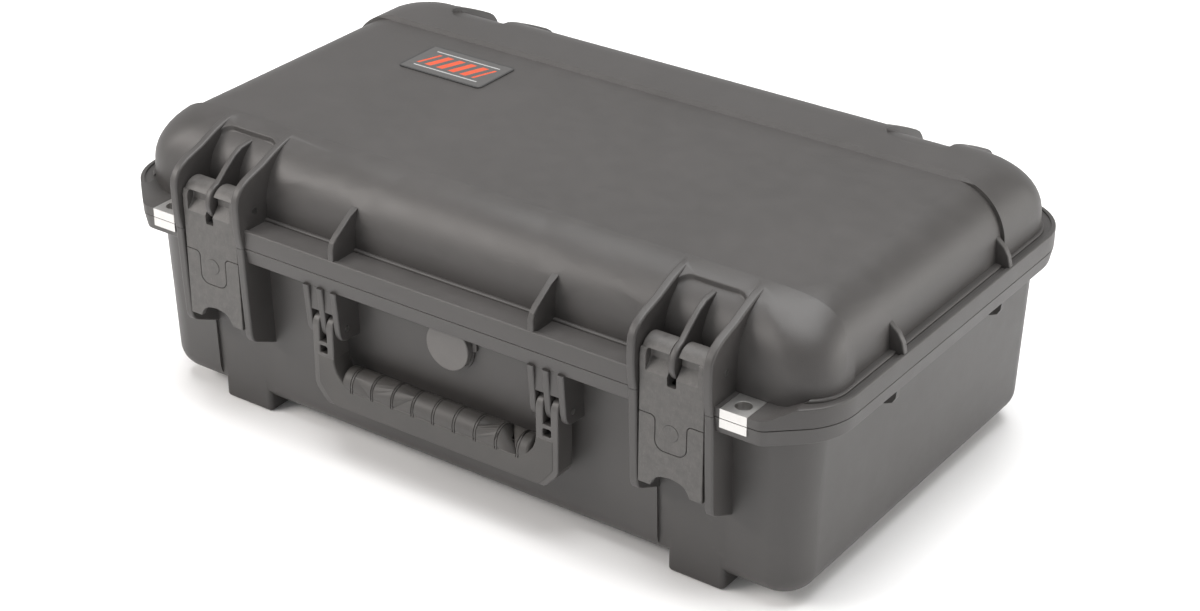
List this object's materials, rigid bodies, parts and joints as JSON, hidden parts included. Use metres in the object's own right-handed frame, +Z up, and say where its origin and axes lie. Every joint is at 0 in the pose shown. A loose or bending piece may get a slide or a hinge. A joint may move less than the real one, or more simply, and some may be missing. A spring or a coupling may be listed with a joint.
{
  "type": "waterproof hard case",
  "caption": "Waterproof hard case with a rear-hinged lid, trigger-release latches, folding carry handle, padlock plates and pressure valve.",
  "frame": {"origin": "centre of the footprint at the underside of the feet", "axes": "+X along the length to the right, -Y the front with latches and handle, +Z up"},
  "size_m": [0.562, 0.369, 0.206],
  "materials": {
    "shell": "satin moulded charcoal",
    "latch": "fibre-filled, mottled",
    "handle": "satin moulded charcoal",
    "grip": "soft moulded grip",
    "plate": "bright brushed",
    "pin": "plain ground pin",
    "spring": "spring wire",
    "gasket": "matt rubber",
    "valve": "satin",
    "membrane": "breathable membrane",
    "badge": "printed stripes"
  },
  "bodies": {
    "base": {"base_shell": "shell", "padlock_plate_base_left": "plate", "padlock_plate_base_right": "plate", "hinge_pin_left": "pin", "hinge_pin_right": "pin", "handle_pin_left": "pin", "handle_pin_right": "pin", "valve_cap": "valve", "valve_oring": "gasket", "valve_nut": "valve", "valve_membrane": "membrane"},
    "lid": {"lid_shell": "shell", "lid_gasket": "gasket", "padlock_plate_lid_left": "plate", "padlock_plate_lid_right": "plate", "latch_pin_left": "pin", "latch_pin_right": "pin", "badge_plate": "badge"},
    "latch_left": {"latch_lever_left": "latch", "latch_plug_left": "latch", "trigger_pin_left": "pin", "trigger_spring_left": "spring"},
    "latch_right": {"latch_lever_right": "latch", "latch_plug_right": "latch", "trigger_pin_right": "pin", "trigger_spring_right": "spring"},
    "trigger_left": {"latch_trigger_left": "latch"},
    "trigger_right": {"latch_trigger_right": "latch"},
    "handle": {"handle_frame": "handle", "handle_grip": "grip"}
  },
  "joints": [
    {"name": "lid_hinge", "type": "hinge", "parent": "base", "child": "lid", "pos_m": [0, 0.1757, 0.1427], "axis": [-1, 0, 0], "range_deg": [0, 100]},
    {"name": "latch_left_swing", "type": "hinge", "parent": "lid", "child": "latch_left", "pos_m": [-0.1845, -0.1682, 0.1665], "axis": [-1, 0, 0], "range_deg": [0, 95]},
    {"name": "trigger_left_pull", "type": "hinge", "parent": "latch_left", "child": "trigger_left", "pos_m": [-0.1845, -0.172, 0.116], "axis": [-1, 0, 0], "range_deg": [0, 12], "stiffness_Nm_per_rad": 0.3, "springref_deg": -8.59},
    {"name": "latch_right_swing", "type": "hinge", "parent": "lid", "child": "latch_right", "pos_m": [0.1845, -0.1682, 0.1665], "axis": [-1, 0, 0], "range_deg": [0, 95]},
    {"name": "trigger_right_pull", "type": "hinge", "parent": "latch_right", "child": "trigger_right", "pos_m": [0.1845, -0.172, 0.116], "axis": [-1, 0, 0], "range_deg": [0, 12], "stiffness_Nm_per_rad": 0.3, "springref_deg": -8.59},
    {"name": "handle_swing", "type": "hinge", "parent": "base", "child": "handle", "pos_m": [0, -0.1692, 0.1028], "axis": [-1, 0, 0], "range_deg": [0, 90]}
  ]
}
